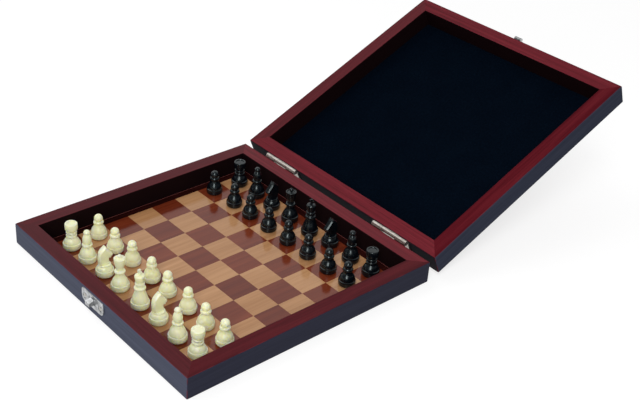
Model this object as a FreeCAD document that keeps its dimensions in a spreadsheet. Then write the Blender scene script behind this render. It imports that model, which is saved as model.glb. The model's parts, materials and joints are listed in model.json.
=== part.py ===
import FreeCAD, Part
import math
import os
import Sketcher
from types import SimpleNamespace

# Travel chess set: a hinged wooden box whose tray is the board, a hasp that holds it shut, and 32 men.
# Millimetres. +X runs along the hinge line, +Y from the hasp side to the hinges, +Z up.
# The origin is the middle of the tray's underside. The lid stands open, as it does in use.

SIZES = {
    # The two halves of the box.
    "box_width": 200,
    "box_depth": 200,
    "tray_height": 16,
    "lid_height": 16,
    "rail_width": 11.6,
    "edge_radius": 1,
    "rim_radius": 0.4,
    "rebate_width": 4,
    "panel_clearance": 0.2,
    "rim_gap": 0.3,
    "open_angle": 156.9,
    "overrun": 5,
    # What lies in the tray and in the lid.
    "base_thickness": 1,
    "steel_thickness": 0.2,
    "veneer_thickness": 0.4,
    "border_width": 5.8,
    "glue_line": 0.06,
    "lid_panel_thickness": 1,
    "felt_thickness": 0.5,
    # The two hinges.
    "hinge_inset": 41.5,
    "hinge_length": 33,
    "barrel_radius": 1.7,
    "swing_clearance": 0.3,
    "pivot_rise": 0.6,
    "leaf_thickness": 1,
    "leaf_width": 8.7,
    "knuckle_gap": 0.15,
    "pin_radius": 0.8,
    "pin_clearance": 0.05,
    "hinge_screw_spacing": 20,
    # The one size of screw that fixes hinges and hasp.
    "screw_head_radius": 1.5,
    "screw_head_height": 0.6,
    "screw_shank_radius": 0.7,
    "screw_length": 6,
    "pilot_clearance": 0.05,
    # The hasp on the lid and its keeper on the tray.
    "plate_length": 25,
    "plate_width": 9.4,
    "plate_thickness": 0.8,
    "plate_corner": 1.4,
    "plate_foot_corner": 4,
    "plate_screw_spacing": 18,
    "seat_radius": 2.4,
    "seat_depth": 0.3,
    "recess_width": 8.6,
    "recess_margin": 0.7,
    "recess_depth": 0.3,
    "nose_width": 4.8,
    "nose_height": 3.6,
    "nose_reach": 4,
    "nose_drop": 2.2,
    "nose_corner": 1,
    "hasp_width": 9.6,
    "hasp_thickness": 0.8,
    "hasp_reach": 8.9,
    "hasp_setback": 1.4,
    "hasp_swing": 176,
    "hasp_barrel_radius": 1.5,
    "hasp_pin_radius": 0.6,
    "hasp_knuckle_width": 3.6,
    "plate_knuckle_width": 1.2,
    "window_clearance": 0.4,
    "hasp_corner": 1.6,
    "lip_radius": 0.8,
    # The men and the magnets in their feet.
    "pawn_radius": 5.9,
    "pawn_height": 18.4,
    "man_radius": 6.2,
    "drum_height": 4.9,
    "rook_height": 20,
    "bishop_height": 24.4,
    "knight_height": 22.6,
    "queen_height": 27,
    "king_height": 28.8,
    "cross_width": 3.5,
    "cross_thickness": 1.2,
    "head_width": 4.2,
    "ridge_width": 2.4,
    "magnet_radius": 3,
    "magnet_thickness": 2,
    "magnet_clearance": 0.05,
}

doc = FreeCAD.newDocument("travel_chess_set")
sheet = doc.addObject("Spreadsheet::Sheet", "sizes")
for row, (alias, value) in enumerate(SIZES.items(), start=1):
    sheet.set(f"A{row}", alias)
    sheet.set(f"B{row}", str(value))
    sheet.setAlias(f"B{row}", alias)
doc.recompute()


class Size:
    """A size held both as its number and as the sheet expression that gives it."""

    def __init__(self, number, text):
        self.number = number
        self.text = text

    @staticmethod
    def of(value):
        return value if isinstance(value, Size) else Size(float(value), f"({value})")

    def __add__(self, other):
        other = Size.of(other)
        return Size(self.number + other.number, f"({self.text} + {other.text})")

    def __sub__(self, other):
        other = Size.of(other)
        return Size(self.number - other.number, f"({self.text} - {other.text})")

    def __mul__(self, other):
        other = Size.of(other)
        return Size(self.number * other.number, f"({self.text} * {other.text})")

    def __truediv__(self, other):
        other = Size.of(other)
        return Size(self.number / other.number, f"({self.text} / {other.text})")

    def __rsub__(self, other):
        return Size.of(other) - self

    def __neg__(self):
        return 0 - self

    __radd__ = __add__
    __rmul__ = __mul__


s = SimpleNamespace(**{alias: Size(float(sheet.get(alias)), f"sizes.{alias}") for alias in SIZES})


def cosine(angle):
    return Size(math.cos(math.radians(angle.number)), f"cos({angle.text} * 1 deg)")


def sine(angle):
    return Size(math.sin(math.radians(angle.number)), f"sin({angle.text} * 1 deg)")


def bind(thing, path, value):
    """Ties one property to the sheet."""
    thing.setExpression(path, Size.of(value).text)


def place(thing, position, rotation=None):
    """Puts a thing at a place that follows the sheet."""
    if rotation:
        thing.Placement = FreeCAD.Placement(FreeCAD.Vector(), rotation)
    for axis, value in zip("xyz", position):
        bind(thing, f"Placement.Base.{axis}", value)


ACROSS = FreeCAD.Rotation(FreeCAD.Vector(0, 1, 0), 90)
BACKWARD = FreeCAD.Rotation(FreeCAD.Vector(1, 0, 0), -90)
FORWARD = FreeCAD.Rotation(FreeCAD.Vector(1, 0, 0), 90)
ABOUT = FreeCAD.Rotation(FreeCAD.Vector(0, 0, 1), 180)


def block(name, lengths, corner):
    box = doc.addObject("Part::Box", name)
    for side, length in zip(("Length", "Width", "Height"), lengths):
        bind(box, side, length)
    place(box, corner)
    return box


def centred_sheet(name, side_x, side_y, thickness, height):
    """A flat rectangle in the middle of the box."""
    return block(name, (side_x, side_y, thickness), (-side_x / 2, -side_y / 2, height))


def rod(name, radius, length, start, rotation):
    """A round bar that leaves its start the way the rotation turns +Z."""
    cylinder = doc.addObject("Part::Cylinder", name)
    bind(cylinder, "Radius", radius)
    bind(cylinder, "Height", length)
    place(cylinder, start, rotation)
    return cylinder


def joined(kind, name, things):
    """Several things as one: fused, met or only kept together."""
    whole = doc.addObject(f"Part::{kind}", name)
    if kind == "Compound":
        whole.Links = things
    else:
        whole.Shapes = things
    return whole


def cut(name, base, tool):
    result = doc.addObject("Part::Cut", name)
    result.Base = base
    result.Tool = tool
    return result


def copy(name, original, position, rotation=None):
    link = doc.addObject("App::Link", name)
    link.LinkedObject = original
    place(link, position, rotation)
    return link


def sketch_on(body, role, offset=0):
    """A sketch on one of the body's own planes, moved along that plane's normal."""
    sketch = body.newObject("Sketcher::SketchObject", f"{body.Name}_sketch")
    plane = next(feature for feature in body.Origin.OriginFeatures if feature.Role == role)
    sketch.AttachmentSupport = [(plane, "")]
    sketch.MapMode = "FlatFace"
    bind(sketch, "AttachmentOffset.Base.z", offset)
    return sketch


def hold(sketch, geometry, end, point):
    """Fixes a point of a sketch at the place the sheet gives it."""
    for kind, axis, value in (("DistanceX", -2, point[0]), ("DistanceY", -1, point[1])):
        value = Size.of(value)
        if value.number == 0:
            sketch.addConstraint(Sketcher.Constraint("PointOnObject", geometry, end, axis))
        else:
            index = sketch.addConstraint(Sketcher.Constraint(kind, -1, 1, geometry, end, value.number))
            bind(sketch, f"Constraints[{index}]", value)


def spot(point):
    return FreeCAD.Vector(Size.of(point[0]).number, Size.of(point[1]).number, 0)


def outline(sketch, corners):
    """A closed outline. A corner of four sizes starts an arc through its second pair."""
    ends = []
    for corner, following in zip(corners, corners[1:] + corners[:1]):
        start, finish = spot(corner[:2]), spot(following[:2])
        if len(corner) == 2:
            ends.append((sketch.addGeometry(Part.LineSegment(start, finish)), 1, 2))
            continue
        arc = sketch.addGeometry(Part.Arc(start, spot(corner[2:]), finish))
        first, last = sketch.getPoint(arc, 1), sketch.getPoint(arc, 2)
        turned_round = first.distanceToPoint(start) > last.distanceToPoint(start)
        ends.append((arc, 2, 1) if turned_round else (arc, 1, 2))
    for (geometry, first, last), following in zip(ends, ends[1:] + ends[:1]):
        sketch.addConstraint(Sketcher.Constraint("Coincident", geometry, last, following[0], following[1]))
    for (geometry, first, last), corner in zip(ends, corners):
        hold(sketch, geometry, first, corner[:2])
        if len(corner) == 4:
            middle = sketch.addGeometry(Part.Point(spot(corner[2:])), True)
            hold(sketch, middle, 1, corner[2:])
            sketch.addConstraint(Sketcher.Constraint("PointOnObject", middle, 1, geometry))


def rectangle(sketch, side_x, side_y):
    outline(sketch, [(-side_x / 2, -side_y / 2), (side_x / 2, -side_y / 2),
                     (side_x / 2, side_y / 2), (-side_x / 2, side_y / 2)])


def circle(sketch, centre, radius):
    shape = Part.Circle(spot(centre), FreeCAD.Vector(0, 0, 1), Size.of(radius).number)
    geometry = sketch.addGeometry(shape)
    hold(sketch, geometry, 3, centre)
    index = sketch.addConstraint(Sketcher.Constraint("Radius", geometry, Size.of(radius).number))
    bind(sketch, f"Constraints[{index}]", radius)


def grow(body, kind, sketch, length, symmetric=False, turned_round=False):
    """A pad or a pocket from a sketch."""
    feature = body.newObject(f"PartDesign::{kind}", f"{body.Name}_{kind.lower()}")
    feature.Profile = sketch
    feature.SideType = "Symmetric" if symmetric else "One side"
    feature.Reversed = turned_round
    bind(feature, "Length", length)
    return feature


def turned(name, corners):
    """A body turned about +Z from a half outline."""
    body = doc.addObject("PartDesign::Body", name)
    sketch = sketch_on(body, "XZ_Plane")
    outline(sketch, corners)
    revolution = body.newObject("PartDesign::Revolution", f"{name}_revolution")
    revolution.Profile = sketch
    revolution.ReferenceAxis = (sketch, ["V_Axis"])
    return body


# The lid turns on the hinge pins. Its pieces are drawn with the panel's outside at height 0 and the hinge
# side at -Y, then set at the open angle.
pivot_reach = s.barrel_radius + s.swing_clearance
pivot_y = s.box_depth / 2 + pivot_reach
pivot_z = s.tray_height + s.pivot_rise
lid_pivot_z = s.lid_height + s.rim_gap - s.pivot_rise
lid_tilt = 180 - s.open_angle
lid_y = pivot_y * (1 + cosine(lid_tilt)) + lid_pivot_z * sine(lid_tilt)
lid_z = pivot_z + pivot_y * sine(lid_tilt) - lid_pivot_z * cosine(lid_tilt)


def on_lid(thing, swing=Size.of(0), pivot=(0, 0)):
    """Moves a piece drawn in the lid's own frame to the open lid, swung out about a pivot given as (y, z)."""
    angle = lid_tilt - swing
    y = lid_y + pivot[0] * (cosine(lid_tilt) - cosine(angle)) - pivot[1] * (sine(lid_tilt) - sine(angle))
    z = lid_z + pivot[0] * (sine(lid_tilt) - sine(angle)) + pivot[1] * (cosine(lid_tilt) - cosine(angle))
    thing.Placement = FreeCAD.Placement(FreeCAD.Vector(), FreeCAD.Rotation(FreeCAD.Vector(1, 0, 0), angle.number))
    bind(thing, "Placement.Base.y", y)
    bind(thing, "Placement.Base.z", z)
    bind(thing, "Placement.Rotation.Angle", angle)
    return thing


nodes = []


def node(name, thing):
    thing.Label = name
    nodes.append(thing)
    return thing


inside_width = s.box_width - 2 * s.rail_width
inside_depth = s.box_depth - 2 * s.rail_width


def frame(name, height, rebate_depth):
    """Four rails still in one: rounded outside, open inside, rebated below for a panel."""
    body = doc.addObject("PartDesign::Body", name)
    outside = sketch_on(body, "XY_Plane")
    rectangle(outside, s.box_width, s.box_depth)
    pad = grow(body, "Pad", outside, height)
    rounding = body.newObject("PartDesign::Fillet", f"{name}_rounding")
    rounding.Base = (pad, [""])
    rounding.UseAllEdges = True
    bind(rounding, "Radius", s.edge_radius)
    inside = sketch_on(body, "XY_Plane")
    rectangle(inside, inside_width, inside_depth)
    grow(body, "Pocket", inside, height + s.overrun, turned_round=True)
    rebate = sketch_on(body, "XY_Plane")
    rectangle(rebate, inside_width + 2 * s.rebate_width, inside_depth + 2 * s.rebate_width)
    opened = grow(body, "Pocket", rebate, rebate_depth, turned_round=True)
    doc.recompute()
    rim = []
    for number, edge in enumerate(opened.Shape.Edges, start=1):
        middle = edge.CenterOfMass
        inner = abs(middle.x) < inside_width.number / 2 + s.rim_radius.number
        inner = inner and abs(middle.y) < inside_depth.number / 2 + s.rim_radius.number
        if inner and abs(middle.z - height.number) < s.rim_radius.number:
            rim.append(f"Edge{number}")
    softening = body.newObject("PartDesign::Fillet", f"{name}_rim")
    softening.Base = (opened, rim)
    bind(softening, "Radius", s.rim_radius)
    return body


def rails(half, whole, height, names, pilots):
    """Saws a frame into its four mitred rails, named for the -Y, +Y, -X and +X sides, and drills them."""
    far_x = s.box_width / 2 + s.overrun
    far_y = s.box_depth / 2 + s.overrun
    near_x = inside_width / 2 - s.overrun
    near_y = inside_depth / 2 - s.overrun
    sides = [
        [(-far_x, -far_y), (far_x, -far_y), (near_x, -near_y), (-near_x, -near_y)],
        [(far_x, far_y), (-far_x, far_y), (-near_x, near_y), (near_x, near_y)],
        [(-far_x, far_y), (-far_x, -far_y), (-near_x, -near_y), (-near_x, near_y)],
        [(far_x, -far_y), (far_x, far_y), (near_x, near_y), (near_x, -near_y)],
    ]
    made = []
    for side, corners in zip(names, sides):
        name = f"{half}_{side}_rail"
        mitre = doc.addObject("PartDesign::Body", f"{name}_mitre")
        sketch = sketch_on(mitre, "XY_Plane")
        outline(sketch, corners)
        grow(mitre, "Pad", sketch, height)
        sawn = joined("MultiCommon", f"{name}_sawn", [whole, mitre])
        made.append(node(name, cut(name, sawn, pilots[side]) if side in pilots else sawn))
    return made


# Every screw is one turned form: a domed head on a plain shank with a point.
tip_share = 0.2
dome_share = 0.75
crown_share = 0.1
screw = turned("screw_form", [
    (0, -s.screw_length),
    (s.screw_shank_radius, -s.screw_length * (1 - tip_share)),
    (s.screw_shank_radius, 0),
    (s.screw_head_radius, 0, s.screw_head_radius * dome_share, s.screw_head_height * dome_share),
    (s.screw_head_radius * crown_share, s.screw_head_height),
    (0, s.screw_head_height),
])
hinge_places = [side * (s.box_width / 2 - s.hinge_inset) for side in (-1, 1)]
hinge_screw_places = [centre + side * s.hinge_screw_spacing / 2 for centre in hinge_places for side in (-1, 1)]
leaf_start = pivot_reach
tray_leaf_low = pivot_z - leaf_start - s.leaf_width
lid_leaf_low = lid_pivot_z - leaf_start - s.leaf_width
tray_screw_z = tray_leaf_low + s.leaf_width / 2
lid_screw_z = lid_leaf_low + s.leaf_width / 2
plate_screw_places = [side * s.plate_screw_spacing / 2 for side in (-1, 1)]
keeper_z = s.tray_height - s.edge_radius - s.plate_width / 2
hasp_pivot_z = s.lid_height - s.hasp_setback
hasp_pivot_y = s.box_depth / 2 + s.hasp_barrel_radius + s.swing_clearance
hasp_plate_top = hasp_pivot_z - s.hasp_barrel_radius - s.swing_clearance
hasp_plate_z = hasp_plate_top - s.plate_width / 2
pilot_radius = s.screw_shank_radius + s.pilot_clearance


def drills(name, places, y, z, rotation):
    """The holes for a row of screws, drilled from inside the wood out past the head."""
    length = s.screw_length + s.overrun
    holes = [rod(f"{name}_hole", pilot_radius, length, (x, y, z), rotation) for x in places]
    return joined("Compound", name, holes)


def screws(name, places, y, z, rotation):
    copies = [copy(f"{name}_screw", screw, (x, y, z), rotation) for x in places]
    return joined("Compound", name, copies)


back = s.box_depth / 2
hinge_bottom = back + s.leaf_thickness - s.screw_length
plate_seat = back + s.plate_thickness - s.seat_depth
plate_bottom = plate_seat - s.screw_length
tray_hinge_drills = drills("tray_hinge_drills", hinge_screw_places, hinge_bottom, tray_screw_z, BACKWARD)
lid_hinge_drills = drills("lid_hinge_drills", hinge_screw_places, -hinge_bottom, lid_screw_z, FORWARD)
keeper_drills = drills("keeper_drills", plate_screw_places, -plate_bottom, keeper_z, FORWARD)
hasp_drills = drills("hasp_drills", plate_screw_places, plate_bottom, hasp_plate_z, BACKWARD)

# The tray: four rails round a ply base, with a steel sheet and the veneered board on it.
tray_frame = frame("tray_frame", s.tray_height, s.base_thickness)
rails("tray", tray_frame, s.tray_height, ("front", "back", "left", "right"),
      {"front": keeper_drills, "back": tray_hinge_drills})
panel_width = inside_width + 2 * s.rebate_width - 2 * s.panel_clearance
panel_depth = inside_depth + 2 * s.rebate_width - 2 * s.panel_clearance
lining_width = inside_width - 2 * s.panel_clearance
lining_depth = inside_depth - 2 * s.panel_clearance
veneer_z = s.base_thickness + s.steel_thickness
board_z = veneer_z + s.veneer_thickness
node("base_panel", centred_sheet("base_panel", panel_width, panel_depth, s.base_thickness, 0))
node("steel_sheet", centred_sheet("steel_sheet", lining_width, lining_depth, s.steel_thickness, s.base_thickness))

FILES = range(8)
field_width = lining_width - 2 * s.border_width
field_depth = lining_depth - 2 * s.border_width
square_width = field_width / len(FILES)
square_depth = field_depth / len(FILES)
square_cut = (square_width - s.glue_line, square_depth - s.glue_line, s.veneer_thickness)
squares = {"light": [], "dark": []}
for file in FILES:
    for rank in FILES:
        colour = "dark" if (file + rank) % 2 == 0 else "light"
        x = file * square_width - field_width / 2 + s.glue_line / 2
        y = rank * square_depth - field_depth / 2 + s.glue_line / 2
        squares[colour].append(block(f"{colour}_square", square_cut, (x, y, veneer_z)))
for colour, group in squares.items():
    node(f"{colour}_squares", joined("Compound", f"{colour}_squares", group))

strip_cut = s.border_width - s.glue_line
long_strip = (lining_width, strip_cut, s.veneer_thickness)
short_strip = (strip_cut, field_depth, s.veneer_thickness)
node("board_border", joined("Compound", "board_border", [
    block("front_strip", long_strip, (-lining_width / 2, -lining_depth / 2, veneer_z)),
    block("back_strip", long_strip, (-lining_width / 2, lining_depth / 2 - strip_cut, veneer_z)),
    block("left_strip", short_strip, (-lining_width / 2, -field_depth / 2, veneer_z)),
    block("right_strip", short_strip, (lining_width / 2 - strip_cut, -field_depth / 2, veneer_z)),
]))

# The lid: four more rails, a panel and a felt lining.
lid_frame = frame("lid_frame", s.lid_height, s.lid_panel_thickness)
lid_rails = rails("lid", lid_frame, s.lid_height, ("back", "front", "left", "right"),
                  {"back": lid_hinge_drills, "front": hasp_drills})
for rail in lid_rails:
    on_lid(rail)
lid_panel = centred_sheet("lid_panel_flat", panel_width, panel_depth, s.lid_panel_thickness, 0)
node("lid_panel", on_lid(joined("Compound", "lid_panel", [lid_panel])))
lid_felt = centred_sheet("lid_felt_flat", lining_width, lining_depth, s.felt_thickness, s.lid_panel_thickness)
node("lid_felt", on_lid(joined("Compound", "lid_felt", [lid_felt])))

# Each hinge: a tray leaf with the two outer knuckles, a lid leaf with the middle one, and a pin.
middle_knuckle_share = 0.4
middle_half = s.hinge_length * middle_knuckle_share / 2
outer_length = s.hinge_length / 2 - middle_half - s.knuckle_gap


def leaf(name, centre, face, outward, low, axis_z, knuckles, drill):
    """A leaf that lies on a back face, with its knuckles rolled out to the pivot line."""
    side = face if outward > 0 else face - s.leaf_thickness
    axis_y = face + outward * pivot_reach
    pieces = [block(f"{name}_flat", (s.hinge_length, s.leaf_thickness, s.leaf_width),
                    (centre - s.hinge_length / 2, side, low))]
    for start, length in knuckles:
        pieces.append(block(f"{name}_web", (length, s.leaf_thickness, axis_z - low), (centre + start, side, low)))
        pieces.append(rod(f"{name}_knuckle", s.barrel_radius, length, (centre + start, axis_y, axis_z), ACROSS))
    bore_start = centre - s.hinge_length / 2 - s.overrun
    bore_length = s.hinge_length + 2 * s.overrun
    bore = rod(f"{name}_bore", s.pin_radius + s.pin_clearance, bore_length, (bore_start, axis_y, axis_z), ACROSS)
    holes = joined("Compound", f"{name}_holes", [bore, drill])
    return node(name, cut(name, joined("MultiFuse", f"{name}_rolled", pieces), holes))


outer_knuckles = [(-s.hinge_length / 2, outer_length), (middle_half + s.knuckle_gap, outer_length)]
middle_knuckle = [(-middle_half, 2 * middle_half)]
for hand, centre in zip(("left", "right"), hinge_places):
    leaf(f"{hand}_hinge_tray_leaf", centre, back, 1, tray_leaf_low, pivot_z, outer_knuckles, tray_hinge_drills)
    lid_leaf = leaf(f"{hand}_hinge_lid_leaf", centre, -back, -1, lid_leaf_low, lid_pivot_z, middle_knuckle,
                    lid_hinge_drills)
    on_lid(lid_leaf)
pins = [rod("hinge_pin", s.pin_radius, s.hinge_length, (centre - s.hinge_length / 2, pivot_y, pivot_z), ACROSS)
        for centre in hinge_places]
node("hinge_pins", joined("Compound", "hinge_pins", pins))
leaf_face = back + s.leaf_thickness
node("tray_hinge_screws", screws("tray_hinge_screws", hinge_screw_places, leaf_face, tray_screw_z, BACKWARD))
node("lid_hinge_screws", on_lid(screws("lid_hinge_screws", hinge_screw_places, -leaf_face, lid_screw_z, FORWARD)))


bend_share = 1 - math.sqrt(0.5)


def rounded(side_x, low, high, low_radius, high_radius):
    """The corners of an upright rectangle, its lower and upper pairs rounded where they have a radius."""
    half = side_x / 2
    corners = []
    for side, inward in ((-1, 1), (1, 1), (1, -1), (-1, -1)):
        height, radius = (low, low_radius) if inward > 0 else (high, high_radius)
        if not radius:
            corners.append((side * half, height))
            continue
        upright = (side * half, height + inward * radius)
        level = (side * (half - radius), height)
        middle = (side * (half - radius * bend_share), height + inward * radius * bend_share)
        first, last = (upright, level) if side == -inward else (level, upright)
        corners += [first + middle, last]
    return corners


def catch_plate(name, offset, height, outer, turned_round):
    """A small pressed plate standing on a side of the box, with a dished seat for each of its screws."""
    body = doc.addObject("PartDesign::Body", name)
    low = height - s.plate_width / 2
    high = height + s.plate_width / 2
    sketch = sketch_on(body, "XZ_Plane", offset)
    outline(sketch, rounded(s.plate_length, low, high, s.plate_foot_corner, s.plate_corner))
    grow(body, "Pad", sketch, s.plate_thickness)
    seats = sketch_on(body, "XZ_Plane", outer)
    for x in plate_screw_places:
        circle(seats, (x, height), s.seat_radius)
    grow(body, "Pocket", seats, s.seat_depth, turned_round=turned_round)
    return body


# The keeper on the tray's front: a plate with a nose that stands in a shallow recess, sloped above and
# flat below.
plate_face = back + s.plate_thickness
keeper = catch_plate("keeper_form", back, keeper_z, plate_face, False)
nose_top = s.tray_height - s.edge_radius - s.nose_drop
nose_low = nose_top - s.nose_height
recess_sketch = sketch_on(keeper, "XZ_Plane", plate_face)
outline(recess_sketch, rounded(s.recess_width, nose_low - s.recess_margin, nose_top + s.recess_margin,
                               s.plate_corner, s.plate_corner))
grow(keeper, "Pocket", recess_sketch, s.recess_depth)
nose_sketch = sketch_on(keeper, "XZ_Plane", plate_face - s.recess_depth)
outline(nose_sketch, rounded(s.nose_width, nose_low, nose_top, None, s.nose_corner))
grow(keeper, "Pad", nose_sketch, s.recess_depth + s.nose_reach)
nose_lip_share = 0.7
nose_end = -plate_face - s.nose_reach
lip_z = nose_low + s.nose_height * nose_lip_share
slope_sketch = sketch_on(keeper, "YZ_Plane")
outline(slope_sketch, [
    (-plate_face, nose_top),
    (nose_end, lip_z),
    (nose_end - s.overrun, lip_z),
    (nose_end - s.overrun, nose_top + s.overrun),
    (-plate_face, nose_top + s.overrun),
])
grow(keeper, "Pocket", slope_sketch, s.nose_width + s.overrun, symmetric=True)
node("keeper_plate", cut("keeper_plate", keeper, keeper_drills))
node("keeper_screws", screws("keeper_screws", plate_screw_places, -plate_seat, keeper_z, FORWARD))

# The hasp's plate on the lid's front carries two knuckles and a pin.
hasp_plate = catch_plate("hasp_plate_form", -plate_face, hasp_plate_z, -plate_face, True)
hasp_outer = s.hasp_knuckle_width / 2 + s.knuckle_gap
hasp_knuckles = [hasp_plate]
hasp_web = (s.plate_knuckle_width, s.plate_thickness, hasp_pivot_z - hasp_plate_z)
for start in (-hasp_outer - s.plate_knuckle_width, hasp_outer):
    hasp_knuckles.append(block("hasp_plate_web", hasp_web, (start, back, hasp_plate_z)))
    hasp_knuckles.append(rod("hasp_plate_knuckle", s.hasp_barrel_radius, s.plate_knuckle_width,
                             (start, hasp_pivot_y, hasp_pivot_z), ACROSS))
hasp_pin_length = 2 * (hasp_outer + s.plate_knuckle_width)
hasp_bore = rod("hasp_bore", s.hasp_pin_radius + s.pin_clearance, hasp_pin_length + 2 * s.overrun,
                (-hasp_pin_length / 2 - s.overrun, hasp_pivot_y, hasp_pivot_z), ACROSS)
hasp_plate_holes = joined("Compound", "hasp_plate_holes", [hasp_bore, hasp_drills])
hasp_plate_rolled = joined("MultiFuse", "hasp_plate_rolled", hasp_knuckles)
node("hasp_plate", on_lid(cut("hasp_plate", hasp_plate_rolled, hasp_plate_holes)))
hasp_plate_screws = screws("hasp_plate_screws", plate_screw_places, plate_seat, hasp_plate_z, BACKWARD)
node("hasp_plate_screws", on_lid(hasp_plate_screws))
hasp_pin_start = (-hasp_pin_length / 2, hasp_pivot_y, hasp_pivot_z)
hasp_pin = rod("hasp_pin_bar", s.hasp_pin_radius, hasp_pin_length, hasp_pin_start, ACROSS)
node("hasp_pin", on_lid(joined("Compound", "hasp_pin", [hasp_pin])))

# The hasp: a knuckle, a flat arm with a window that drops over the nose, and a rolled finger lip. It hangs
# folded back on the open lid.
hasp = doc.addObject("PartDesign::Body", "hasp_form")
closed_height = s.tray_height + s.rim_gap + s.lid_height
window_near = closed_height - nose_top - s.window_clearance
window_far = closed_height - nose_low + s.window_clearance
window_half = s.nose_width / 2 + s.window_clearance
shoulder = hasp_pivot_z + s.hasp_barrel_radius + s.swing_clearance
hasp_tip = s.lid_height + s.hasp_reach
arm_sketch = sketch_on(hasp, "XZ_Plane", -hasp_pivot_y)
outline(arm_sketch, [
    (-s.hasp_knuckle_width / 2, hasp_pivot_z),
    (s.hasp_knuckle_width / 2, hasp_pivot_z),
    (s.hasp_knuckle_width / 2, shoulder),
    (s.hasp_width / 2 - s.hasp_corner, shoulder,
     s.hasp_width / 2 - s.hasp_corner * bend_share, shoulder + s.hasp_corner * bend_share),
    (s.hasp_width / 2, shoulder + s.hasp_corner),
    (s.hasp_width / 2, hasp_tip),
    (-s.hasp_width / 2, hasp_tip),
    (-s.hasp_width / 2, shoulder + s.hasp_corner,
     -s.hasp_width / 2 + s.hasp_corner * bend_share, shoulder + s.hasp_corner * bend_share),
    (-s.hasp_width / 2 + s.hasp_corner, shoulder),
    (-s.hasp_knuckle_width / 2, shoulder),
])
outline(arm_sketch, [
    (-window_half, window_near),
    (-window_half, window_far),
    (window_half, window_far),
    (window_half, window_near),
])
grow(hasp, "Pad", arm_sketch, s.hasp_thickness, symmetric=True)
knuckle_sketch = sketch_on(hasp, "YZ_Plane")
circle(knuckle_sketch, (hasp_pivot_y, hasp_pivot_z), s.hasp_barrel_radius)
grow(hasp, "Pad", knuckle_sketch, s.hasp_knuckle_width, symmetric=True)
lip_sketch = sketch_on(hasp, "YZ_Plane")
circle(lip_sketch, (hasp_pivot_y + s.lip_radius - s.hasp_thickness / 2, hasp_tip), s.lip_radius)
grow(hasp, "Pad", lip_sketch, s.hasp_width, symmetric=True)
node("hasp", on_lid(cut("hasp", hasp, hasp_bore), s.hasp_swing, (hasp_pivot_y, hasp_pivot_z)))


# The men are moulded, turned forms on a drum, each with a disc magnet in its foot.
def raised(shares, radius, foot, height):
    """Turns shares of a radius and of the height above a foot into places."""
    corners = []
    for corner in shares:
        sizes = [share * radius if index % 2 == 0 else foot + share * (height - foot)
                 for index, share in enumerate(corner)]
        corners.append(tuple(sizes))
    return corners


drum_shares = [
    (0, 0),
    (0.8, 0, 0.93, 0.13),
    (0.99, 0.5, 1, 0.75),
    (0.976, 0.959),
]
drum = [(0, 0)] + [tuple(share * (s.drum_height if index % 2 else s.man_radius) if share else 0
                         for index, share in enumerate(corner)) for corner in drum_shares[1:]]


def man(name, height, shares):
    return bored(turned(name, drum + raised(shares, s.man_radius, s.drum_height, height)))


def bored(body):
    """Sinks the magnet's hole into a man's foot."""
    sketch = sketch_on(body, "XY_Plane")
    circle(sketch, (0, 0), s.magnet_radius + s.magnet_clearance)
    grow(body, "Pocket", sketch, s.magnet_thickness, turned_round=True)
    return body


pawn_shares = [
    (0, 0),
    (0.8, 0, 0.93, 0.03),
    (0.99, 0.118, 1, 0.175),
    (0.983, 0.226),
    (0.907, 0.239, 0.873, 0.326),
    (0.72, 0.435, 0.58, 0.507),
    (0.5, 0.6, 0.602, 0.683),
    (0.441, 0.745, 0.48, 0.889),
    (0.05, 1),
    (0, 1),
]
pawn = bored(turned("pawn_form", raised(pawn_shares, s.pawn_radius, Size.of(0), s.pawn_height)))
rook_shares = [
    (0.887, 0, 0.823, 0.096),
    (0.645, 0.205, 0.548, 0.262),
    (0.508, 0.325, 0.613, 0.365),
    (0.508, 0.404),
    (0.484, 0.417),
    (0.484, 0.49, 0.605, 0.53),
    (0.508, 0.57, 0.556, 0.636),
    (0.677, 0.682, 0.718, 0.815),
    (0.694, 0.947, 0.669, 0.987),
    (0.597, 1),
    (0.484, 1),
    (0.444, 0.97),
    (0, 0.97),
]
rook = man("rook_form", s.rook_height, rook_shares)
bishop_shares = [
    (0.887, 0, 0.823, 0.11),
    (0.653, 0.23, 0.54, 0.297),
    (0.476, 0.382, 0.585, 0.43),
    (0.419, 0.477, 0.5, 0.6),
    (0.282, 0.841, 0.363, 0.908),
    (0.242, 0.979, 0.129, 0.996),
    (0.05, 1),
    (0, 1),
]
bishop = man("bishop_form", s.bishop_height, bishop_shares)
queen_shares = [
    (0.887, 0, 0.815, 0.09),
    (0.645, 0.18, 0.528, 0.247),
    (0.452, 0.363, 0.597, 0.416),
    (0.403, 0.466),
    (0.379, 0.502, 0.532, 0.665),
    (0.621, 0.851, 0.6, 0.876),
    (0.532, 0.878),
    (0.435, 0.855),
    (0.145, 0.893, 0.218, 0.939),
    (0.03, 1),
    (0, 1),
]
queen = man("queen_form", s.queen_height, queen_shares)
king_shares = [
    (0.887, 0, 0.847, 0.071),
    (0.734, 0.172, 0.589, 0.285),
    (0.516, 0.372, 0.629, 0.42),
    (0.484, 0.464, 0.435, 0.502),
    (0.46, 0.531, 0.532, 0.561),
    (0.444, 0.594),
    (0.435, 0.615, 0.516, 0.711),
    (0.556, 0.795, 0.419, 0.835),
    (0.145, 0.845),
    (0, 0.845),
]
king = man("king_form", s.king_height, king_shares)
cross_foot_share = 0.83
cross_foot = s.drum_height + cross_foot_share * (s.king_height - s.drum_height)
cross_shares = [(0.43, 0), (0.257, 0.44), (1, 0.366), (1, 0.78), (0.257, 0.683), (0.4, 1)]
cross_shares += [(-across, up) for across, up in reversed(cross_shares)]
cross_sketch = sketch_on(king, "XZ_Plane")
outline(cross_sketch, raised(cross_shares, s.cross_width / 2, cross_foot, s.king_height))
grow(king, "Pad", cross_sketch, s.cross_thickness, symmetric=True)

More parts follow.
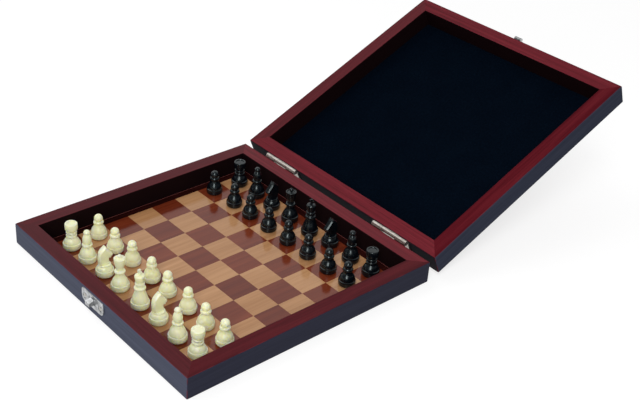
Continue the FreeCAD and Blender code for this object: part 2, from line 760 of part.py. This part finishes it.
# The knight: a flat horse's head, bevelled on both cheeks from its ridge, on a short turned foot.
knight = doc.addObject("PartDesign::Body", "knight_form")
head_shares = [
    (-0.484, 0.1, -0.742, 0.5),
    (-0.63, 0.76, -0.42, 0.863),
    (-0.1, 0.95),
    (0.08, 1),
    (0.2, 0.89),
    (0.87, 0.61, 0.92, 0.565),
    (0.85, 0.522),
    (0.64, 0.53),
    (0.74, 0.495, 0.69, 0.46),
    (0.58, 0.457, 0.46, 0.47),
    (0.4, 0.42, 0.42, 0.328),
    (0.6, 0.1),
]
cheek_middle_shares = (-0.05, 0.62)
cheek_share = 0.87
cheek_shares = [tuple(cheek_middle_shares[index % 2] + cheek_share * (share - cheek_middle_shares[index % 2])
                      for index, share in enumerate(corner)) for corner in head_shares]


def side_view(shares, offset):
    sketch = sketch_on(knight, "YZ_Plane", offset)
    outline(sketch, raised(shares, s.man_radius, s.drum_height, s.knight_height))
    return sketch


grow(knight, "Pad", side_view(head_shares, 0), s.ridge_width, symmetric=True)
for side in (-1, 1):
    bevel = knight.newObject("PartDesign::AdditiveLoft", "knight_bevel")
    bevel.Profile = side_view(head_shares, side * s.ridge_width / 2)
    bevel.Sections = [side_view(cheek_shares, side * s.head_width / 2)]
    bevel.Ruled = True
ear_notch_shares = [(-0.6, 1.05), (0, 0.93), (0.6, 1.05)]
front_view = sketch_on(knight, "XZ_Plane")
outline(front_view, raised(ear_notch_shares, s.ridge_width / 2, s.drum_height, s.knight_height))
grow(knight, "Pocket", front_view, 2 * s.man_radius, symmetric=True)
foot_shares = [
    (0.887, 0, 0.839, 0.071),
    (0.637, 0.165, 0.694, 0.199),
    (0.613, 0.232),
    (0, 0.232),
]
foot_sketch = sketch_on(knight, "XZ_Plane")
outline(foot_sketch, drum + raised(foot_shares, s.man_radius, s.drum_height, s.knight_height))
foot = knight.newObject("PartDesign::Revolution", "knight_foot")
foot.Profile = foot_sketch
foot.ReferenceAxis = (foot_sketch, ["V_Axis"])
bored(knight)

magnet = rod("magnet_form", s.magnet_radius, s.magnet_thickness, (0, 0, 0), FreeCAD.Rotation())

# Where each man stands: by file from the left, a little off its square's middle, in shares of a square.
back_rank = [("rook_1", rook), ("bishop_1", bishop), ("knight_1", knight), ("queen", queen),
             ("king", king), ("knight_2", knight), ("bishop_2", bishop), ("rook_2", rook)]
pawn_rank = [(f"pawn_{file + 1}", pawn) for file in FILES]
white_back_shares = [(0.06, -0.06), (0.01, -0.04), (-0.02, 0), (-0.08, -0.03),
                     (0.06, -0.04), (0.02, -0.01), (0.07, -0.05), (0.01, 0)]
white_pawn_shares = [(0.01, 0.01), (0.02, 0.01), (-0.02, 0.05), (0.11, 0.04),
                     (0.04, 0.01), (0.1, 0.03), (0.06, -0.01), (0.03, -0.02)]
black_pawn_shares = [(-0.07, -0.07), (0.04, -0.02), (-0.05, -0.02), (-0.03, -0.02),
                     (-0.02, 0), (0.01, 0), (0.04, 0), (-0.05, 0)]
black_back_shares = [(0.01, 0.01), (0, 0.03), (-0.06, -0.04), (-0.06, -0.04),
                     (0, -0.04), (-0.07, 0.07), (0.03, 0.01), (-0.01, 0.02)]
ranks = [
    ("white", 0, back_rank, white_back_shares),
    ("white", 1, pawn_rank, white_pawn_shares),
    ("black", 6, pawn_rank, black_pawn_shares),
    ("black", 7, back_rank, black_back_shares),
]
middle_share = 0.5
for colour, rank, men, offsets in ranks:
    for file, ((kind, form), offset) in enumerate(zip(men, offsets)):
        name = f"{colour}_{kind}"
        standing = node(name, joined("Compound", name, [form, magnet]))
        x = (file + middle_share + offset[0]) * square_width - field_width / 2
        y = (rank + middle_share + offset[1]) * square_depth - field_depth / 2
        place(standing, (x, y, board_z), ABOUT if colour == "black" else None)

doc.recompute()
for thing in doc.Objects:
    if "Invalid" in thing.State or "Error" in thing.State:
        raise RuntimeError(f"{thing.Label} did not recompute")
os.makedirs("parts", exist_ok=True)
for thing in nodes:
    if thing.Shape.isNull() or not thing.Shape.isValid():
        raise RuntimeError(f"{thing.Label} has no valid shape")
    thing.Shape.exportStep(f"parts/{thing.Label}.step")
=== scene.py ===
import bpy
import json
import math
from mathutils import Matrix, Vector


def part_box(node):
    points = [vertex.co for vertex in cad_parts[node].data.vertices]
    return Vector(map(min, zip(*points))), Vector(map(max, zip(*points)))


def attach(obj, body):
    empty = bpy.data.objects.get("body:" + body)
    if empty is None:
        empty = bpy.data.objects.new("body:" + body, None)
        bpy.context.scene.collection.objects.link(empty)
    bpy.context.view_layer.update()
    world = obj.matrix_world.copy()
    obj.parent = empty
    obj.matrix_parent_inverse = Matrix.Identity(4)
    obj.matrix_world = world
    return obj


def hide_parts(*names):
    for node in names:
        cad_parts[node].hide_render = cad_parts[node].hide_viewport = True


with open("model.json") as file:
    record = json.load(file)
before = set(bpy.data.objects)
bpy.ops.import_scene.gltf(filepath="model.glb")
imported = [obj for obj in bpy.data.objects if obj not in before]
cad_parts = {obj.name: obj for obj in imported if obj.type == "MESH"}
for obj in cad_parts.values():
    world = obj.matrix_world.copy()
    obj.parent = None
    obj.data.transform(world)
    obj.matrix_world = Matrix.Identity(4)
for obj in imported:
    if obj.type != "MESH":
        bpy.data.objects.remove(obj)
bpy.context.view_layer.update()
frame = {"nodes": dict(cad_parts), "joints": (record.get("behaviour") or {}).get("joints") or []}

# The eight rails of the box: hardwood strips mitred at the corners, stained deep red, with a satin lacquer.
# The red is painted paler on the back and lid rails, as painted light. Their outsides are stained a dark
# blue-black whose tone
# per face is painted light and shade: paler slate blue in front, as painted light and painted reflection of
# the floor, inky at the sides, and almost black at the back, where the open lid's back rail faces the tray,
# as painted shade.
# Red shows in patches along the outer edges, partly where they are rubbed and partly as a painted highlight
# on the arris. The inner walls are darker still. The lid stands open.
hinge = next(joint for joint in frame["joints"] if joint["name"] == "lid_hinge")
lid_tilt = math.radians(180 + hinge["range_deg"][0])
lid_axis_height = 0.0157
lid_place = (Matrix.Translation(hinge["pos_m"]) @ Matrix.Rotation(lid_tilt, 4, "X")
             @ Matrix.Translation((0, hinge["pos_m"][1], -lid_axis_height)))
box_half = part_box("tray_right_rail")[1].x
rail_width = 0.0116
wall_inside = box_half - rail_width
edge_round = 0.0006
stain_depth = 0.0002
pore_red = (0.034, 0.002, 0.004, 1)
# Red of the outer edges, partly rubbed wear and partly a painted highlight along the arris.
rubbed_red_and_highlight = (0.15, 0.016, 0.02, 1)
wall_black = (0.0055, 0.0004, 0.0011, 1)


class Wire:
    """An output of a shader node. Sums written on it add the Math nodes that do them."""

    def __init__(self, tree, socket=None):
        self.tree = tree
        self.socket = socket

    def node(self, kind, settings, inputs, output=0):
        """Adds any node: its settings first, then the values or wires of its sockets."""
        made = self.tree.nodes.new(f"ShaderNode{kind}")
        for name, value in settings.items():
            if name == "stops":
                for stop in range(len(value) - 2):
                    made.color_ramp.elements.new(0.5)
                for element, (position, colour) in zip(made.color_ramp.elements, value):
                    element.position = position
                    element.color = (*colour, 1)
            else:
                setattr(made, name, value)
        for name, value in inputs.items():
            if isinstance(value, Wire):
                self.tree.links.new(value.socket, made.inputs[name])
            else:
                made.inputs[name].default_value = value
        return Wire(self.tree, made.outputs[output] if made.outputs else None)

    def math(self, operation, first, second=0.0):
        return self.node("Math", {"operation": operation}, {0: first, 1: second})

    def __add__(self, other):
        return self.math("ADD", self, other)

    def __sub__(self, other):
        return self.math("SUBTRACT", self, other)

    def __rsub__(self, other):
        return self.math("SUBTRACT", other, self)

    def __mul__(self, other):
        return self.math("MULTIPLY", self, other)

    def __lt__(self, other):
        return self.math("LESS_THAN", self, other)

    def __gt__(self, other):
        return self.math("GREATER_THAN", self, other)

    def __abs__(self):
        return self.math("ABSOLUTE", self)

    __radd__ = __add__
    __rmul__ = __mul__

    def larger(self, other):
        return self.math("MAXIMUM", self, other)

    def smaller(self, other):
        return self.math("MINIMUM", self, other)

    def split(self):
        """The three parts of these coordinates."""
        parts = self.node("SeparateXYZ", {}, {"Vector": self})
        return [Wire(self.tree, output) for output in parts.socket.node.outputs]

    def scaled(self, factors):
        """These coordinates, stretched along each axis."""
        return self.node("VectorMath", {"operation": "MULTIPLY"}, {0: self, 1: factors})

    def noise(self, factors, detail, roughness):
        """Noise as fine along each axis as the factors say."""
        return self.node("TexNoise", {}, {"Vector": self.scaled(factors), "Scale": 1.0, "Detail": detail,
                                          "Roughness": roughness})

    def ramp(self, *stops):
        return self.node("ValToRGB", {"stops": stops}, {"Fac": self})

    def between(self, low, high):
        """This wire from 0 to 1, spread from low to high."""
        return self.node("MapRange", {}, {"Value": self, "To Min": low, "To Max": high})

    def rise(self, low, high):
        """0 where this wire is at low, 1 at high, and a smooth step from one to the other."""
        return self.node("MapRange", {"interpolation_type": "SMOOTHSTEP"},
                         {"Value": self, "From Min": low, "From Max": high})

    def over(self, under, top):
        """Top laid over under, as far as this wire says."""
        return self.node("Mix", {"data_type": "RGBA"}, {0: self, 6: under, 7: top}, 2)

    def bump(self, strength, depth):
        return self.node("Bump", {}, {"Height": self, "Strength": strength, "Distance": depth})


class Finish:
    """A material: the numbers that are the same all over it, and its places as a wire."""

    def __init__(self, name, **fixed):
        self.material = bpy.data.materials.new(name)
        self.material.use_nodes = True
        self.tree = self.material.node_tree
        self.shader = self.tree.nodes["Principled BSDF"]
        for socket, value in fixed.items():
            self.shader.inputs[socket.replace("_", " ")].default_value = value
        self.place = Wire(self.tree).node("TexCoord", {}, {}, "Object")

    def feed(self, **wires):
        """Wires what varies over the surface to the shader."""
        for socket, wire in wires.items():
            self.tree.links.new(wire.socket, self.shader.inputs[socket.replace("_", " ")])

    def on(self, *names):
        """Paints whole nodes of the frame."""
        for name in names:
            mesh = frame["nodes"][name].data
            mesh.materials.clear()
            mesh.materials.append(self.material)


def in_lid(place):
    """Places of the open lid, as they lie in the lid itself."""
    back = lid_place.inverted()
    return place.node("Mapping", {"vector_type": "POINT"},
                      {"Vector": place, "Location": back.to_translation(), "Rotation": back.to_euler()})


def rail_lacquer(name, grain, lid, stain_and_painted_light, outside_with_painted_light, shine):
    """The finish of one rail. The outside colours are the dark and the pale of the outer face, whose tone
    from face to face is painted light and shade, and its polish.
    """
    face_dark, face_pale, polish = outside_with_painted_light
    finish = Finish(name, IOR=1.5, Specular_IOR_Level=shine, Coat_Roughness=0.16)
    place = in_lid(finish.place) if lid else finish.place
    along, across = 9.0, 420.0
    stretch = (along, across, across) if grain == "x" else (across, along, across)
    figure = place.noise(stretch, 5.0, 0.6)
    pores = place.noise(tuple(5.0 * factor for factor in stretch), 2.0, 0.5)
    patches = place.noise((90.0, 90.0, 90.0), 2.0, 0.5)
    depths = ((0.3, (0.066, 0.0035, 0.007)), (0.5, (0.086, 0.0055, 0.0105)), (0.7, (0.11, 0.0095, 0.0145)))
    # The red is scaled per rail: partly the wood's stain, partly painted light that makes the back and lid
    # rails paler.
    red = figure.ramp(*[(share, tuple(stain_and_painted_light * part for part in colour)) for share, colour in depths])
    red = ((pores < 0.4) * 0.35).over(red, pore_red)
    x, y = [abs(part) for part in place.split()[:2]]
    reach = x.larger(y)
    inner = reach < wall_inside + stain_depth
    outer = reach.rise(box_half - edge_round - stain_depth, box_half - stain_depth)
    long_edges = abs(reach - (box_half - edge_round)) < stain_depth
    corners = x.smaller(y) > box_half - edge_round
    # Red in patches along the outer edges: partly rubbed wear, partly a painted highlight along the arris.
    rubbed_and_highlight = long_edges.larger(corners) * patches.rise(0.45, 0.62) * 0.6
    face = figure.ramp((0.3, face_dark), (0.7, face_pale))
    colour = rubbed_and_highlight.over(outer.over(red, face), rubbed_red_and_highlight)
    finish.feed(Base_Color=inner.over(colour, wall_black),
                Roughness=figure.between(0.36, 0.48) + inner.larger(outer) * 0.3,
                Coat_Weight=outer * figure.between(0.75 * polish, 1.25 * polish),
                Normal=pores.bump(0.18, 0.00005))
    return finish


# Outer face tones: the paler slate in front is painted light and painted reflection, and the darker sides and
# near-black back are painted shade.
front_slate_painted_light = ((0.054, 0.062, 0.101), (0.077, 0.088, 0.138), 0.12)
lid_side_painted_shade = ((0.032, 0.037, 0.06), (0.048, 0.054, 0.084), 0.02)
side_ink_painted_shade = ((0.019, 0.02, 0.037), (0.0285, 0.0305, 0.053), 0.07)
back_pitch_painted_shade = ((0.006, 0.0045, 0.008), (0.011, 0.0085, 0.0145), 0.0)
# The third column sets how pale each rail's red is: paler on the back and lid rails as painted light.
for rail, grain, stain_and_painted_light, outside_with_painted_light, shine in (
        ("tray_front_rail", "x", 0.92, front_slate_painted_light, 0.12),
        ("tray_back_rail", "x", 1.72, back_pitch_painted_shade, 0.12),
        ("tray_left_rail", "y", 0.97, side_ink_painted_shade, 0.11),
        ("tray_right_rail", "y", 0.93, side_ink_painted_shade, 0.07),
        ("lid_front_rail", "x", 1.65, front_slate_painted_light, 0.08),
        ("lid_back_rail", "x", 1.8, back_pitch_painted_shade, 0.09),
        ("lid_left_rail", "y", 1.15, side_ink_painted_shade, 0.11),
        ("lid_right_rail", "y", 1.15, lid_side_painted_shade, 0.02)):
    rail_lacquer(f"{rail}_lacquer", grain, rail.startswith("lid"), stain_and_painted_light, outside_with_painted_light, shine).on(rail)

# The two thin panels that close the box below and above: plywood faced with the rails' wood, stained a dark
# wine red, lacquered, and glued into rebates in the rails.
panel_dark, panel_middle, panel_pale = (0.024, 0.003, 0.005), (0.042, 0.005, 0.009), (0.07, 0.009, 0.014)
for name, lid in (("base_panel", False), ("lid_panel", True)):
    panel = Finish(f"{name}_stain", IOR=1.5, Coat_Roughness=0.16, Specular_IOR_Level=0.1)
    place = in_lid(panel.place) if lid else panel.place
    figure = place.noise((190.0, 6.0, 190.0), 6.0, 0.6)
    waves = place.noise((36.0, 2.5, 36.0), 2.0, 0.5)
    tone = (figure + waves) * 0.5
    panel.feed(Base_Color=tone.ramp((0.34, panel_dark), (0.5, panel_middle), (0.66, panel_pale)),
               Roughness=figure.between(0.36, 0.48),
               Coat_Weight=waves.between(0.06, 0.14),
               Normal=figure.bump(0.2, 0.00005))
    panel.on(name)

# The thin sheet of mild steel between the base panel and the veneers, cold rolled and glued in. The men's
# magnets hold on to it, and it shows only at the seams.
steel_dark, steel_bright = (0.2, 0.2, 0.2), (0.34, 0.34, 0.33)
steel = Finish("cold_rolled_steel", Metallic=1.0, IOR=1.5)
rolling = steel.place.noise((30.0, 900.0, 900.0), 4.0, 0.6)
steel.feed(Base_Color=rolling.ramp((0.3, steel_dark), (0.7, steel_bright)),
           Roughness=rolling.between(0.35, 0.55))
steel.on("steel_sheet")

# The board: squares of two veneers laid turn about, each cut from its own bit of the leaf with the grain
# running from player to player, inside a dark border whose outer edge is a thin red line, partly the veneer's
# own edge and partly a painted highlight on its rounded edge. The whole is filled and lacquered to a high
# gloss.
light_low, light_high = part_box("light_squares")
square_side = (light_high.x - light_low.x) / 8
edge_line = 0.0005
leaf_spread = 3.0


def board_veneer(name, dark, middle, pale, vary, edge_and_highlight):
    """One veneer. Each square takes its figure from another place of the leaf, and a tone of its own."""
    finish = Finish(name, IOR=1.5, Specular_IOR_Level=0.42)
    place = finish.place
    cell = place.node("VectorMath", {"operation": "DIVIDE"}, {0: place, 1: (square_side, square_side, 1.0)})
    cell = cell.node("VectorMath", {"operation": "FLOOR"}, {0: cell})
    chance = cell.node("TexWhiteNoise", {"noise_dimensions": "3D"}, {"Vector": cell})
    shift = Wire(finish.tree, chance.socket.node.outputs["Color"])
    moved = place.node("VectorMath", {"operation": "MULTIPLY_ADD"},
                       {0: shift, 1: (leaf_spread, leaf_spread, leaf_spread), 2: place})
    figure = moved.noise((330.0, 9.0, 330.0), 5.0, 0.62)
    bands = moved.noise((70.0, 3.0, 70.0), 2.0, 0.5)
    tone = figure * 0.62 + bands * 0.38 + (chance - 0.5) * vary
    pores = moved.noise((2600.0, 60.0, 2600.0), 2.0, 0.5)
    colour = tone.ramp((0.3, dark), (0.5, middle), (0.7, pale))
    colour = ((pores < 0.38) * 0.3).over(colour, (*dark, 1))
    x, y = [abs(part) for part in place.split()[:2]]
    # The thin line along the walls: partly the veneer's edge, partly a painted highlight on its rounded edge.
    colour = (x.larger(y) > wall_inside - edge_line).over(colour, (*edge_and_highlight, 1))
    peel = place.noise((260.0, 260.0, 260.0), 2.0, 0.5)
    finish.feed(Base_Color=colour, Roughness=figure.between(0.09, 0.16), Normal=peel.bump(0.06, 0.0002))
    return finish


board_veneer("pale_veneer", (0.355, 0.167, 0.067), (0.453, 0.232, 0.104), (0.55, 0.3, 0.146), 0.12,
             (0.453, 0.232, 0.104)).on("light_squares")
board_veneer("red_veneer", (0.11, 0.0155, 0.0058), (0.16, 0.0275, 0.0097), (0.214, 0.044, 0.0165), 0.16,
             (0.16, 0.0275, 0.0097)).on("dark_squares")
# The border's last colour is its edge line, partly painted highlight.
board_veneer("border_veneer", (0.013, 0.0022, 0.0018), (0.023, 0.0036, 0.003), (0.036, 0.006, 0.0045), 0.1,
             (0.23, 0.07, 0.062)).on("board_border")

# The lining of the lid: one sheet of blue-black felt, cut to the inside of the rails and glued flat to the
# lid's panel. Its pile stands a little unevenly.
felt_side = 0.1764
felt_thickness = 0.00045
felt_cells = 150
glued_height = 0.00102
pile_height = 0.00006
felt_dark, felt_middle, felt_pale = (0.0002, 0.0012, 0.0032), (0.0008, 0.003, 0.0075), (0.0025, 0.007, 0.0145)
bpy.ops.object.select_all(action="DESELECT")
bpy.ops.mesh.primitive_grid_add(x_subdivisions=felt_cells, y_subdivisions=felt_cells, size=felt_side,
                                location=(0, 0, glued_height))
felt = bpy.context.object
felt.name = "felt_lining"
bpy.ops.object.transform_apply(location=True, rotation=True, scale=True)
bpy.ops.object.mode_set(mode="EDIT")
bpy.ops.mesh.select_all(action="SELECT")
bpy.ops.transform.vertex_random(offset=pile_height, uniform=0.0, normal=1.0, seed=7)
bpy.ops.object.mode_set(mode="OBJECT")
wall = felt.modifiers.new("wall", "SOLIDIFY")
wall.thickness = felt_thickness
wall.offset = 1.0
bpy.ops.object.modifier_apply(modifier=wall.name)
felt.matrix_world = lid_place
bpy.ops.object.transform_apply(location=True, rotation=True, scale=True)
bpy.ops.object.shade_smooth_by_angle(angle=math.radians(50))
pile = Finish("blue_black_felt", IOR=1.4, Specular_IOR_Level=0.02)
inside_lid = in_lid(pile.place)
fibres = inside_lid.noise((2400.0, 2400.0, 2400.0), 3.0, 0.7)
tufts = inside_lid.noise((700.0, 700.0, 700.0), 3.0, 0.6)
rubs = inside_lid.noise((45.0, 45.0, 45.0), 2.0, 0.5)
nap = fibres * 0.5 + tufts * 0.4 + rubs * 0.1
pile.feed(Base_Color=nap.ramp((0.36, felt_dark), (0.52, felt_middle), (0.68, felt_pale)),
          Roughness=nap.between(0.85, 1.0),
          Normal=nap.bump(0.5, 0.0003))
felt.data.materials.append(pile.material)
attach(felt, "lid")
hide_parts("lid_felt")


# The hinges and the catch: leaves, knuckles and plates pressed from thin steel and plated with nickel, rubbed
# bright in places, on pins of drawn wire. Screws hold them to the outsides of the rails.
def nickel(name, dull, bright):
    """Plating that is clouded in places."""
    finish = Finish(name, Metallic=1.0, IOR=1.5)
    rubbing = finish.place.noise((900.0, 260.0, 900.0), 4.0, 0.65)
    clouds = finish.place.noise((420.0, 420.0, 420.0), 3.0, 0.6)
    finish.feed(Base_Color=clouds.ramp((0.35, dull), (0.65, bright)),
                Roughness=(rubbing * 0.5 + clouds * 0.5).between(0.2, 0.46),
                Normal=rubbing.bump(0.08, 0.0001))
    return finish


nickel("hinge_nickel", (0.38, 0.345, 0.31), (0.61, 0.57, 0.52)).on(
    "left_hinge_tray_leaf", "right_hinge_tray_leaf", "left_hinge_lid_leaf", "right_hinge_lid_leaf")
nickel("catch_nickel", (0.3, 0.305, 0.305), (0.58, 0.59, 0.605)).on("keeper_plate", "hasp_plate", "hasp")
pin_dark, pin_bright = (0.4, 0.39, 0.36), (0.6, 0.58, 0.55)
plated = Finish("plated_pin_steel", Metallic=1.0, IOR=1.5)
drawing = plated.place.noise((120.0, 900.0, 900.0), 3.0, 0.6)
plated.feed(Base_Color=drawing.ramp((0.3, pin_dark), (0.7, pin_bright)),
            Roughness=drawing.between(0.25, 0.45))
plated.on("hinge_pins", "hasp_pin")

# The screws: small domed heads with one straight slot, turned and plated, driven to different stops. One is
# modelled a thousand times too large, because bisect takes points within a tenth of a millimetre of its plane
# to lie on it, and is then shrunk and copied.
enlarged = 1000
head_radius = 0.0015 * enlarged
head_height = 0.0006 * enlarged
shank_radius = 0.0007 * enlarged
shank_length = 0.006 * enlarged
point_share = 0.2
point_taper = 0.1
slot_width = 0.0004 * enlarged
slot_depth = 0.00035 * enlarged
dome_radius = (head_radius ** 2 + head_height ** 2) / (2 * head_height)
bpy.ops.object.select_all(action="DESELECT")
bpy.ops.mesh.primitive_uv_sphere_add(segments=36, ring_count=64, radius=dome_radius,
                                     location=(0, 0, head_height - dome_radius))
screw = bpy.context.object
bpy.ops.object.transform_apply(location=True, rotation=True, scale=True)
bpy.ops.object.mode_set(mode="EDIT")
bpy.ops.mesh.select_all(action="SELECT")
bpy.ops.mesh.bisect(plane_co=(0, 0, 0), plane_no=(0, 0, 1), use_fill=True, clear_inner=True)
bpy.ops.object.mode_set(mode="OBJECT")
for polygon in screw.data.polygons:
    polygon.select = polygon.normal.z < -0.9
bpy.ops.object.mode_set(mode="EDIT")
bpy.ops.mesh.inset(thickness=head_radius - shank_radius)
bpy.ops.mesh.extrude_region_move(TRANSFORM_OT_translate={"value": (0, 0, -(1 - point_share) * shank_length)})
bpy.ops.mesh.extrude_region_move(TRANSFORM_OT_translate={"value": (0, 0, -point_share * shank_length)})
bpy.ops.transform.resize(value=(point_taper, point_taper, 1.0))
bpy.ops.object.mode_set(mode="OBJECT")
bpy.ops.mesh.primitive_cube_add(size=1, location=(0, 0, head_height))
slot_cutter = bpy.context.object
slot_cutter.scale = (slot_width, 4 * head_radius, 2 * slot_depth)
bpy.ops.object.transform_apply(location=True, rotation=True, scale=True)
bpy.context.view_layer.objects.active = screw
slotting = screw.modifiers.new("slotting", "BOOLEAN")
slotting.object = slot_cutter
slotting.solver = "EXACT"
bpy.ops.object.modifier_apply(modifier=slotting.name)
bpy.data.objects.remove(slot_cutter)
screw.data.transform(Matrix.Scale(1 / enlarged, 4))
screw_dark, screw_bright = (0.38, 0.36, 0.33), (0.62, 0.6, 0.56)
screw_steel = Finish("screw_plating", Metallic=1.0, IOR=1.5)
turning = screw_steel.place.noise((700.0, 700.0, 700.0), 3.0, 0.6)
screw_steel.feed(Base_Color=turning.ramp((0.3, screw_dark), (0.7, screw_bright)),
                 Roughness=turning.between(0.2, 0.4))
screw.data.materials.append(screw_steel.material)
backward = Matrix.Rotation(math.radians(-90), 4, "X")
forward = Matrix.Rotation(math.radians(90), 4, "X")
hinge_middle = 0.0585
hinge_step = 0.01
plate_step = 0.009
leaf_face = 0.101
plate_face = 0.1005
tray_leaf_height = 0.01025
lid_leaf_height = 0.00935
keeper_height = 0.0103
hasp_plate_height = 0.0081
hinge_screws = [x for centre in (-hinge_middle, hinge_middle)
                for x in (centre - hinge_step, centre + hinge_step)]
plate_screws = (-plate_step, plate_step)
screw_rows = [
    ("tray_hinge_screws", "tray", Matrix(), hinge_screws, leaf_face, tray_leaf_height, backward),
    ("lid_hinge_screws", "lid", lid_place, hinge_screws, -leaf_face, lid_leaf_height, forward),
    ("keeper_screws", "tray", Matrix(), plate_screws, -plate_face, keeper_height, forward),
    ("hasp_plate_screws", "lid", lid_place, plate_screws, plate_face, hasp_plate_height, backward),
]
first_stop_deg, number_turn_deg, row_turn_deg = 35, 53, 29
for row, (node, body, base, places, face, height, way) in enumerate(screw_rows):
    for number, x in enumerate(places):
        driven = screw.copy()
        driven.data = screw.data.copy()
        driven.name = f"{node[:-1]}_{number + 1}"
        bpy.context.scene.collection.objects.link(driven)
        stop_deg = first_stop_deg + number_turn_deg * number + row_turn_deg * row
        stop = Matrix.Rotation(math.radians(stop_deg), 4, "Z")
        driven.data.transform(base @ Matrix.Translation((x, face, height)) @ way @ stop)
        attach(driven, body)
        if number == 0:
            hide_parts(node)
bpy.data.objects.remove(screw)

# The men: plastic mouldings with a disc magnet pressed into a hole in each foot, one side in ivory and the
# other in black, both with the soft shine of the mould. The ivory feet are painted a little greyer and
# greener than the bodies, as painted shade low on the men.
men = [name for name in frame["nodes"] if name.startswith(("white_", "black_"))]
foot_low, foot_high = 0.0035, 0.0085
ivory_foot_painted_shade = (0.84, 0.87, 0.59, 1)
ivory = Finish("ivory_plastic", IOR=1.49, Subsurface_Weight=0.75, Subsurface_Scale=0.006,
               Subsurface_Radius=(1.0, 0.9, 0.5))
cloud = ivory.place.noise((120.0, 120.0, 120.0), 3.0, 0.5)
skin = ivory.place.noise((1800.0, 1800.0, 1800.0), 2.0, 0.5)
ivory_body = cloud.ramp((0.3, (0.88, 0.885, 0.56)), (0.7, (0.93, 0.935, 0.64)))
# Painted shade: the ivory is greyer and greener below foot_high.
above = ivory.place.split()[2].rise(foot_low, foot_high)
ivory.feed(Base_Color=above.over(ivory_foot_painted_shade, ivory_body),
           Roughness=skin.between(0.24, 0.34),
           Normal=skin.bump(0.05, 0.00004))
ivory.on(*[name for name in men if name.startswith("white_")])
jet = Finish("black_plastic", IOR=1.5, Specular_Tint=(0.86, 1.0, 1.0, 1.0))
cloud = jet.place.noise((120.0, 120.0, 120.0), 3.0, 0.5)
skin = jet.place.noise((1800.0, 1800.0, 1800.0), 2.0, 0.5)
jet.feed(Base_Color=cloud.ramp((0.3, (0.001, 0.002, 0.004)), (0.7, (0.002, 0.0035, 0.006))),
         Roughness=skin.between(0.2, 0.28),
         Normal=skin.bump(0.05, 0.00004))
jet.on(*[name for name in men if name.startswith("black_")])

# The pale table that the set stands on, a room that is white along the skyline, bright behind the set, dim
# overhead and dimmest towards the camera, two large soft lamps, and the camera.
table_size = 12
table_drop = 0.0002
table_grey = (0.36, 0.36, 0.36, 1)
table_glow = 0.72
white = (1, 1, 1, 1)
bpy.ops.object.select_all(action="DESELECT")
bpy.ops.mesh.primitive_plane_add(size=table_size, location=(0, 0, -table_drop))
table = bpy.context.object
table.name = "table"
table_top = bpy.data.materials.new("pale_table")
table_top.use_nodes = True
tree = table_top.node_tree
tree.nodes.clear()
seen = Wire(tree).node("LightPath", {}, {}, "Is Camera Ray")
glossy = Wire(tree, seen.socket.node.outputs["Is Glossy Ray"])
clear = Wire(tree, seen.socket.node.outputs["Is Transmission Ray"])
matt = seen.node("BsdfDiffuse", {}, {"Color": table_grey})
shown = seen.larger(glossy).larger(clear)
glow = seen.node("Emission", {}, {"Color": white, "Strength": shown * table_glow})
both = seen.node("AddShader", {}, {0: matt, 1: glow})
seen.node("OutputMaterial", {}, {"Surface": both})
table.data.materials.append(table_top)

away_x, away_y = -0.743, 0.669
world = bpy.data.worlds.new("room")
bpy.context.scene.world = world
world.use_nodes = True
tree = world.node_tree
tree.nodes.clear()
x, y, z = Wire(tree).node("TexCoord", {}, {}, "Generated").split()
behind = (x * away_x + y * away_y).rise(-0.1, 0.7)
overhead = z.rise(0.55, 1.0)
skyline = 1 - abs(z).rise(0.1, 0.22)
strength = (behind * 0.75 + overhead * 0.15 + 0.14).larger(skyline)
sky = x.node("Background", {}, {"Color": white, "Strength": strength})
x.node("OutputWorld", {}, {"Surface": sky})


def soft_lamp(name, place, aim, width, height, power):
    """A large lamp that the camera doesn't see, turned to what it lights."""
    data = bpy.data.lights.new(name, "AREA")
    data.shape = "RECTANGLE"
    data.size = width
    data.size_y = height
    data.energy = power
    lamp = bpy.data.objects.new(name, data)
    bpy.context.scene.collection.objects.link(lamp)
    lamp.location = place
    lamp.visible_camera = False
    lamp.rotation_euler = (Vector(aim) - Vector(place)).to_track_quat("-Z", "Y").to_euler()


set_middle = (0, 0.08, 0)
soft_lamp("key_lamp", (0.85, -0.95, 1.15), set_middle, 0.6, 1.5, 21)
soft_lamp("fill_lamp", (-0.9, -0.3, 1.4), set_middle, 1.0, 1.0, 3.5)

camera_place = (0.5097, -0.4005, 0.4494)
forward_way = Vector((-0.64036, 0.57617, -0.50792)).normalized()
right_way = Vector((0.64317, 0.76371, 0.05545))
right_way = (right_way - right_way.dot(forward_way) * forward_way).normalized()
up_way = right_way.cross(forward_way)
camera = bpy.data.objects.new("camera", bpy.data.cameras.new("camera"))
bpy.context.scene.collection.objects.link(camera)
camera.data.sensor_width = 36
camera.data.lens = 64.81
camera.data.shift_x = 0.0482
camera.data.shift_y = -0.0306
turn = Matrix((right_way, up_way, -forward_way)).transposed().to_4x4()
camera.matrix_world = Matrix.Translation(camera_place) @ turn
bpy.context.scene.camera = camera
bpy.context.scene.view_settings.view_transform = "Standard"
